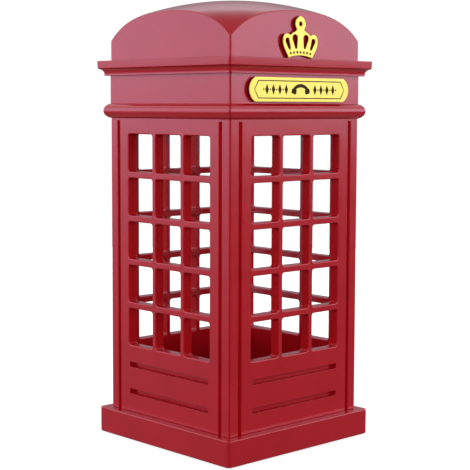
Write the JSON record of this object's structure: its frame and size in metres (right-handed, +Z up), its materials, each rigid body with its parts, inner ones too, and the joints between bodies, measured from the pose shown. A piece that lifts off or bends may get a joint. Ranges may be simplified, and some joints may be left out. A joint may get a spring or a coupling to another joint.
{
  "type": "telephone booth desk lamp",
  "caption": "Small square red telephone-booth night light: windowed moulded sides on a plinth, domed roof cap, gold crown and sign, LED ceiling lamp, slide switch.",
  "frame": {"origin": "middle of the square footprint, at the underside of the rubber feet", "axes": "+Z up; -Y is the front, which carries the crown and the sign; +Y is the back with the power inlet and switch; +X is to the right seen from the front"},
  "size_m": [0.1058, 0.1058, 0.2367],
  "materials": {
    "red_plastic": "satin-gloss moulded red plastic",
    "badge_red": "satin dark red moulded plastic",
    "badge_gold": "satin pale gold, painted",
    "black_plastic": "fine matt moulded plastic",
    "rubber": "matt rubber",
    "steel": "zinc-plated steel",
    "white_plastic": "white moulded plastic",
    "opal": "opal diffusing plastic",
    "led": "yellow phosphor under clear resin",
    "copper_foil": "bright copper foil",
    "wire_black": "smooth insulation",
    "wire_red": "smooth insulation",
    "battery_foil": "matt laminated foil",
    "foam": "foam tape",
    "circuit_board": "green solder mask",
    "board_white": "white solder mask on aluminium",
    "chip_black": "moulded package"
  },
  "bodies": {
    "booth": {"roof_cap": "red_plastic", "front_side": "red_plastic", "back_side": "red_plastic", "left_side": "red_plastic", "right_side": "red_plastic", "plinth": "red_plastic", "bottom_cover": "black_plastic", "cover_screws": "steel", "rubber_feet": "rubber", "wall_screws": "steel", "crown_badge": "badge_red", "crown_face": "badge_gold", "sign_plaque": "badge_red", "sign_face": "badge_gold", "lamp_tray": "white_plastic", "tray_screws": "steel", "roof_screws": "steel", "led_board": "board_white", "leds": "led", "led_board_screws": "steel", "diffuser": "opal", "touch_plate": "copper_foil", "touch_wire": "wire_red", "lamp_wires": "wire_black", "wire_cover": "red_plastic", "battery": "battery_foil", "battery_pad": "foam", "battery_leads": "wire_red", "battery_plug": "white_plastic", "main_board": "circuit_board", "main_board_screws": "steel", "board_parts": "chip_black", "lamp_plug": "white_plastic", "usb_socket": "steel", "switch_body": "steel", "charge_light": "white_plastic"},
    "switch_slider": {"switch_knob": "black_plastic"}
  },
  "joints": [
    {"name": "power_switch", "type": "slide", "parent": "booth", "child": "switch_slider", "axis": [1, 0, 0], "range_m": [0, 0.004]}
  ]
}
